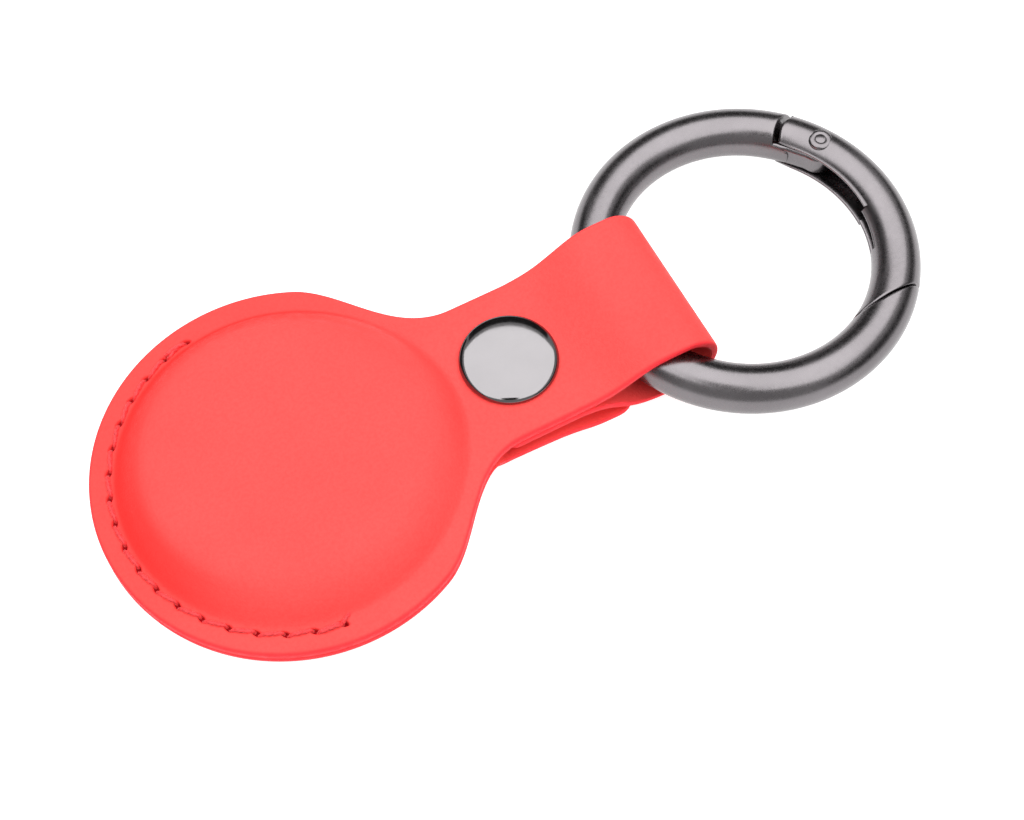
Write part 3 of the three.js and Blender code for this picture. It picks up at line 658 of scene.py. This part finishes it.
def hinge_end(gap):
    """Angle where the wire meets the round space about the pin, which is narrower near the eye."""
    def at(r):
        shoulder = SHOULDER_R - gap / 2
        outer = smoothstep(r, shoulder - 0.12, shoulder + 0.12)
        radius = gap + SHOULDER_CLEAR_R + (HINGE_CLEAR_R - SHOULDER_CLEAR_R) * outer
        share = (r ** 2 + PIN_AT ** 2 - radius ** 2) / (2 * r * PIN_AT)
        return math.radians(PIN_DEG) + np.arccos(np.clip(share, -1, 1))
    return at


def nose_end(y):
    """Angle where the wire meets a plane across the ring."""
    return lambda r: np.arcsin(np.clip(y / r, -1, 1))


def straight_end(deg):
    return lambda r: np.full_like(r, math.radians(deg))


def ring_run(section, start, end, count, start_bevel=0.0, end_bevel=0.0):
    """A section run round the ring from one end to the other, with rounded bevels on its ends."""
    section, inward, r = np.array(section, float), inward_of(section), section[:, 0]
    a, b = start(r), end(r)
    first, last = a + start_bevel / r, b - end_bevel / r
    rows = [(first + (last - first) * t, 0.0) for t in np.linspace(0, 1, count)]
    steps = [(k, 1 - math.sin(k * math.pi / 2)) for k in (0.0, 0.29, 0.62)]
    if start_bevel:
        rows = [(a + k * start_bevel / r, start_bevel * draw) for k, draw in steps] + rows
    if end_bevel:
        rows += [(b - k * end_bevel / r, end_bevel * draw) for k, draw in reversed(steps)]
    rings = []
    for angle, inset in rows:
        x, z = (section + inward * inset).T
        rings.append(np.stack([x * np.cos(angle), x * np.sin(angle), z], -1))
    return lofted(rings)


def ring_object(name, parts):
    points, faces = join_parts(parts)
    return add_mesh(name, points + [RING_X, 0, 0], faces, sharp_deg=45)


def plate(outline, half, bevel):
    """A flat outline, thick by twice half, with bevelled edges."""
    line = np.array(outline, float)
    inward = inward_of(line)
    levels = [(-half, bevel), (-half + bevel * 0.3, bevel * 0.3), (-half + bevel, 0),
              (half - bevel, 0), (half - bevel * 0.3, bevel * 0.3), (half, bevel)]
    return lofted([np.column_stack([line + inward * d, np.full(len(line), z)]) for z, d in levels])


tongue = chain(
    arc(polar(PIN_AT, PIN_DEG), KNUCKLE_R, PIN_DEG - 185, PIN_DEG + 55, 40),
    [polar(17.9, 37), polar(TONGUE_OUTER_R, TONGUE_ROOT_DEG),
     polar(TONGUE_INNER_R, TONGUE_ROOT_DEG), polar(TONGUE_INNER_R, 40), polar(14.4, 34),
     polar(14.5, 31)])
body_end = nose_end(NOSE_Y)
ring_body = ring_object("ring_wire", [
    ring_run(round_section(112), hinge_end(HINGE_GAP), lambda r: body_end(r) + 2 * math.pi,
             count=220, start_bevel=END_BEVEL, end_bevel=END_BEVEL),
    plate(tongue, TONGUE_HALF, TONGUE_BEVEL)])

narrow_start, wide_start = straight_end(NARROW_FROM_DEG), straight_end(WIDE_FROM_DEG)
ring_gate = ring_object("ring_gate_shell", [
    ring_run(round_section(56), nose_end(NOSE_Y + NOSE_GAP), narrow_start, count=20,
             start_bevel=END_BEVEL),
    ring_run(channel_section(*NARROW_CHANNEL), narrow_start, wide_start, count=24),
    ring_run(channel_section(*WIDE_CHANNEL), wide_start, hinge_end(0), count=60,
             end_bevel=HINGE_BEVEL)])

pin_head = [(0, PIN_HALF), (0.5, PIN_HALF), (0.6, PIN_HALF - 0.06), (0.7, PIN_HALF),
            (1.0, PIN_HALF - 0.02), (1.25, PIN_HALF - 0.1), (PIN_HEAD_R, PIN_HALF - 0.26),
            (PIN_HEAD_R, PIN_HALF - 0.56), (PIN_R, PIN_HALF - 0.61)]
pin = lathe("gate_pin_head", [(r, -z) for r, z in pin_head] + pin_head[::-1],
            (RING_X + PIN[0], PIN[1]))

leg_deg = PIN_DEG - LEG_DEG
coil_share = np.linspace(0, 1, 90)
coil_turn = np.radians(leg_deg + 90 - COIL_TURN_DEG * (1 - coil_share))
coil = np.stack([COIL_R * np.cos(coil_turn), COIL_R * np.sin(coil_turn),
                 COIL_LOW + COIL_CLIMB * coil_share], -1)
leg_way = np.append(polar(1, leg_deg), 0)
leg = coil[-1] + leg_way * np.linspace(0.3, LEG_LENGTH, 12)[:, None]
spring = spring_wire("gate_spring_wire", np.concatenate([coil, leg]) + [RING_X + PIN[0], PIN[1], 0],
                     COIL_WIRE_R)


# ---------------------------------------------------------------------------------------------
# Materials

class Nodes:
    """A material's node tree, with short calls to add and join nodes."""

    def __init__(self, name):
        self.material = bpy.data.materials.new(name)
        self.material.use_nodes = True
        self.tree = self.material.node_tree
        self.shader = self.tree.nodes["Principled BSDF"]
        self.place = self.add("ShaderNodeTexCoord").outputs["Object"]

    def add(self, kind, inputs=None, **settings):
        node = self.tree.nodes.new(kind)
        for key, value in settings.items():
            setattr(node, key, value)
        for key, value in (inputs or {}).items():
            self.set(node.inputs[key], value)
        return node

    def set(self, slot, value):
        if isinstance(value, bpy.types.NodeSocket):
            self.tree.links.new(value, slot)
        else:
            slot.default_value = value

    def noise(self, scale, detail=3.0, rough=0.5):
        return self.add("ShaderNodeTexNoise", {
            "Vector": self.place, "Scale": scale, "Detail": detail,
            "Roughness": rough}).outputs["Fac"]

    def ramp(self, value, stops):
        node = self.add("ShaderNodeValToRGB", {"Fac": value})
        ramp = node.color_ramp
        while len(ramp.elements) < len(stops):
            ramp.elements.new(0.5)
        for element, (at, colour) in zip(ramp.elements, stops):
            element.position, element.color = at, (*colour, 1)
        return node.outputs["Color"]

    def span(self, value, low, high, to_low, to_high):
        return self.add("ShaderNodeMapRange", {
            "Value": value, "From Min": low, "From Max": high,
            "To Min": to_low, "To Max": to_high}).outputs[0]

    def mix(self, share, a, b):
        node = self.add("ShaderNodeMix", {}, data_type="RGBA")
        self.set(node.inputs["Factor"], share)
        for slot, value in ((node.inputs[6], a), (node.inputs[7], b)):
            self.set(slot, value if isinstance(value, bpy.types.NodeSocket) else (*value, 1))
        return node.outputs[2]

    def math(self, kind, a, b=0.0):
        node = self.add("ShaderNodeMath", {}, operation=kind)
        self.set(node.inputs[0], a)
        self.set(node.inputs[1], b)
        return node.outputs[0]

    def bump(self, height, distance, strength=1.0, under=None):
        inputs = {"Height": height, "Distance": distance, "Strength": strength}
        if under is not None:
            inputs["Normal"] = under
        return self.add("ShaderNodeBump", inputs).outputs["Normal"]

    def finish(self, **inputs):
        for key, value in inputs.items():
            self.set(self.shader.inputs[key.replace("_", " ")], value)
        return self.material


def attribute(nodes, name):
    return nodes.add("ShaderNodeAttribute", attribute_name=name).outputs["Fac"]


def leather_material():
    n = Nodes("leather_red")
    cloud = n.noise(90, 4, 0.6)
    colour = n.ramp(cloud, [(0.3, (0.93, 0.072, 0.067)), (0.7, (0.95, 0.079, 0.073))])
    # painted shade darkens the upper and left shoulder of the dome
    colour = n.mix(n.math("MULTIPLY", attribute(n, "painted_shoulder_shade"), 0.95), colour, (0.93, 0.036, 0.032))
    speck = n.noise(2600, 2, 0.6)
    colour = n.mix(n.span(speck, 0.35, 0.62, 0.18, 0), colour, (0.85, 0.035, 0.034))
    colour = n.mix(n.math("MULTIPLY", attribute(n, "edge"), 0.8), colour, (0.86, 0.026, 0.04))
    # painted shade: the needle holes are coloured dark red
    colour = n.mix(attribute(n, "painted_hole_shade"), colour, (0.3, 0.002, 0.006))
    cells = n.add("ShaderNodeTexVoronoi", {"Vector": n.place, "Scale": 2300.0, "Randomness": 1.0},
                  feature="DISTANCE_TO_EDGE").outputs["Distance"]
    grain = n.math("ADD", n.span(cells, 0, 0.22, 0, 1), n.math("MULTIPLY", speck, 0.8))
    soft = n.bump(n.noise(420, 3, 0.55), 0.00006, 0.5)
    normal = n.bump(grain, 0.000022, 0.55, under=soft)
    rough = n.span(n.noise(700, 3), 0.3, 0.7, 0.46, 0.6)
    return n.finish(Base_Color=colour, Roughness=rough, Normal=normal, Specular_IOR_Level=0.06)


def thread_material():
    n = Nodes("thread_red")
    strands = n.noise(5200, 3, 0.6)
    colour = n.ramp(strands, [(0.32, (0.5, 0.012, 0.016)), (0.68, (0.86, 0.045, 0.05))])
    return n.finish(Base_Color=colour, Roughness=n.span(strands, 0.3, 0.7, 0.5, 0.72),
                    Normal=n.bump(strands, 0.00003, 0.8), Sheen_Weight=0.2)


def solid_material(name, low, high, rough, metallic=1.0, grain=3000, depth=0.000004):
    """Metal or moulded plastic: a slow drift in colour, fine grain in roughness and bump."""
    n = Nodes(name)
    cloud = n.noise(120, 5, 0.62)
    fine = n.noise(grain, 4, 0.65)
    colour = n.ramp(cloud, [(0.3, low), (0.7, high)])
    drift = n.math("ADD", n.math("MULTIPLY", cloud, 0.45), n.math("MULTIPLY", fine, 0.55))
    return n.finish(Base_Color=colour, Metallic=metallic, Normal=n.bump(fine, depth, 0.6),
                    Roughness=n.span(drift, 0.3, 0.7, *rough))


leather = leather_material()
thread = thread_material()
gunmetal = solid_material("gunmetal_satin", (0.15, 0.139, 0.145), (0.185, 0.172, 0.179),
                          (0.2, 0.34), grain=2200)
nickel = solid_material("nickel_polished", (0.185, 0.177, 0.182), (0.205, 0.196, 0.201),
                        (0.06, 0.16), grain=2500, depth=0.000001)
spring_steel = solid_material("spring_steel", (0.42, 0.42, 0.43), (0.55, 0.55, 0.56), (0.2, 0.35))

# Finishes of the pieces carried over from the CAD, by slot: two colours that it drifts between, a
# range of roughness, and whether it is metal.
slot_finishes = {
    "white_plastic": ((0.84, 0.84, 0.82), (0.9, 0.9, 0.88), (0.18, 0.3), 0.0),
    "frame_plastic": ((0.5, 0.5, 0.5), (0.58, 0.58, 0.57), (0.45, 0.6), 0.0),
    "dark_plastic": ((0.025, 0.025, 0.028), (0.04, 0.04, 0.042), (0.5, 0.65), 0.0),
    "polished_steel": ((0.62, 0.62, 0.64), (0.7, 0.7, 0.71), (0.08, 0.2), 1.0),
    "cell_steel": ((0.5, 0.5, 0.51), (0.6, 0.6, 0.6), (0.25, 0.4), 1.0),
    "seal_rubber": ((0.012, 0.012, 0.012), (0.022, 0.022, 0.022), (0.75, 0.9), 0.0),
    "gold_plate": ((0.72, 0.5, 0.18), (0.8, 0.58, 0.24), (0.2, 0.35), 1.0),
    "board": ((0.01, 0.06, 0.032), (0.016, 0.085, 0.045), (0.3, 0.45), 0.0),
    "copper": ((0.6, 0.26, 0.12), (0.72, 0.34, 0.17), (0.25, 0.4), 1.0),
    "magnet_nickel": ((0.42, 0.42, 0.44), (0.52, 0.52, 0.53), (0.2, 0.32), 1.0),
    "chip_black": ((0.01, 0.01, 0.011), (0.018, 0.018, 0.019), (0.5, 0.62), 0.0),
}
slot_looks = {slot: solid_material(slot, *finish) for slot, finish in slot_finishes.items()}


# ---------------------------------------------------------------------------------------------
# Which body each piece rides on, which CAD nodes it stands for, and its finish

pieces = [
    (front, ["front_panel"], "pocket", "leather", leather),
    (back, ["back_panel", "back_flap"], None, "leather", leather),
    (front_seam, ["front_thread"], "pocket", "thread", thread),
    (back_seam, ["back_thread"], "pocket", "thread", thread),
    (cap, ["snap_cap"], "pocket", "nickel", nickel),
    (post, ["snap_post"], "pocket", "nickel", nickel),
    (socket, ["snap_socket"], "pocket", "nickel", nickel),
    (grip, ["snap_spring"], "pocket", "spring_steel", spring_steel),
    (stud, ["snap_stud"], "flap", "nickel", nickel),
    (rivet, ["stud_rivet"], "flap", "nickel", nickel),
    (ring_body, ["ring_body"], "ring", "gunmetal", gunmetal),
    (pin, ["gate_pin"], "ring", "gunmetal", gunmetal),
    (ring_gate, ["ring_gate"], "gate", "gunmetal", gunmetal),
    (spring, ["gate_spring"], "gate", "spring_steel", spring_steel),
]
for piece, nodes, body, slot, look in pieces:
    piece.data.materials.append(look)
    if body:
        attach(piece, body)
    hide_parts(*nodes)

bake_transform(back)

for part in frame["record"]["subparts"]:
    node = frame["nodes"][part["node"]]
    if part["material_slot"] in slot_looks:
        node.data.materials.clear()
        node.data.materials.append(slot_looks[part["material_slot"]])


# ---------------------------------------------------------------------------------------------
# Floor, light and camera

# Lengths from here on are in metres unless their name says otherwise, and angles in degrees.
FLOOR_SIZE = 6
WORLD_STRENGTH = 0.56
CAMERA_AZ, CAMERA_EL, CAMERA_ROLL = -26.392, 62.743, -1.628
CAMERA_DISTANCE = 190.56 * MM
CAMERA_AIM = Vector((23.581 * MM, -4.887 * MM, MID_Z * MM))
SENSOR_MM, LENS_MM = 36, 62.96
STUDIO_MIDDLE = Vector((0.0236, -0.0049, 0.0054))    # the light and the cards stand about this
SOFTBOX_SIZE, SOFTBOX_WATTS = (1.08, 0.98), 9.1
SOFTBOX_PLACE = (0.03, 0.07, 0.6)                    # across, beyond and above
CARD_REACH = (-0.5, 0.7)                             # near and far ends of the side cards
FAR_CARD = 0.8
HOOD_DISTANCE, HOOD_R, HOOD_SIDES = 0.25, 0.045, 24


def floor_material():
    n = Nodes("floor_white")
    tone = n.ramp(n.noise(6, 2), [(0.3, (0.49, 0.49, 0.49)), (0.7, (0.5, 0.5, 0.5))])
    return n.finish(Base_Color=tone, Roughness=0.9, Specular_IOR_Level=0.1, Emission_Color=tone,
                    Emission_Strength=1.75)


bpy.ops.mesh.primitive_plane_add(size=FLOOR_SIZE, location=(0, 0, 0))
floor = bpy.context.object
floor.name = "floor"
floor.data.materials.append(floor_material())

world = bpy.data.worlds.new("studio")
world.use_nodes = True
world.node_tree.nodes["Background"].inputs["Color"].default_value = (1, 1, 1, 1)
world.node_tree.nodes["Background"].inputs["Strength"].default_value = WORLD_STRENGTH
bpy.context.scene.world = world
bpy.context.scene.view_settings.view_transform = "Standard"


def direction(azimuth, elevation):
    """Unit vector from the object towards a place seen at that azimuth and elevation."""
    a, e = math.radians(azimuth), math.radians(elevation)
    return Vector((math.sin(a) * math.cos(e), -math.cos(a) * math.cos(e), math.sin(e)))


back_way = direction(CAMERA_AZ, CAMERA_EL)
right = Vector((math.cos(math.radians(CAMERA_AZ)), math.sin(math.radians(CAMERA_AZ)), 0))
up = back_way.cross(right)
roll = math.radians(CAMERA_ROLL)
turned_right = right * math.cos(roll) + up * math.sin(roll)
turned_up = up * math.cos(roll) - right * math.sin(roll)
lens = bpy.data.cameras.new("camera")
lens.sensor_fit, lens.sensor_width, lens.lens = "HORIZONTAL", SENSOR_MM, LENS_MM
lens.clip_start, lens.clip_end = 0.005, 20
camera = bpy.data.objects.new("camera", lens)
camera.matrix_world = Matrix.Translation(CAMERA_AIM + back_way * CAMERA_DISTANCE) @ Matrix(
    (turned_right, turned_up, back_way)).transposed().to_4x4()
bpy.context.scene.collection.objects.link(camera)
bpy.context.scene.camera = camera

# One wide softbox overhead, a little beyond the object. Black cards on both sides, beyond it and
# round the camera draw the dark lines along the polished metal. The camera itself doesn't see them.
far = Vector((-right.y, right.x, 0))


def studio_place(across, beyond, height):
    return STUDIO_MIDDLE + right * across + far * beyond + Vector((0, 0, height))


softbox = bpy.data.lights.new("softbox", "AREA")
softbox.shape, softbox.energy = "RECTANGLE", SOFTBOX_WATTS
softbox.size, softbox.size_y = SOFTBOX_SIZE
softbox_object = bpy.data.objects.new("softbox", softbox)
softbox_object.location = studio_place(*SOFTBOX_PLACE)
softbox_object.rotation_euler = (0, 0, math.radians(CAMERA_AZ))
bpy.context.scene.collection.objects.link(softbox_object)

card_black = Nodes("card_black").finish(Base_Color=(0.01, 0.01, 0.01, 1), Roughness=0.9)


def card(name, places):
    mesh = bpy.data.meshes.new(name)
    mesh.from_pydata(places, [], [list(range(len(places)))])
    obj = bpy.data.objects.new(name, mesh)
    obj.visible_camera = False
    mesh.materials.append(card_black)
    bpy.context.scene.collection.objects.link(obj)


near, beyond = CARD_REACH
for name, across, low, high in (("card_left", -0.5, 0.07, 0.42), ("card_right", 0.5, 0.07, 0.27)):
    card(name, [studio_place(across, near, low), studio_place(across, beyond, low),
                studio_place(across, beyond, high), studio_place(across, near, high)])
card("card_far", [studio_place(across, FAR_CARD, height) for across, height in (
    (-0.5, 0.12), (0.5, 0.12), (0.5, 0.68), (-0.5, 0.68))])
hood_turns = [2 * math.pi * k / HOOD_SIDES for k in range(HOOD_SIDES)]
card("card_camera", [
    CAMERA_AIM + back_way * HOOD_DISTANCE
    + (turned_right * math.cos(turn) + turned_up * math.sin(turn)) * HOOD_R for turn in hood_turns])
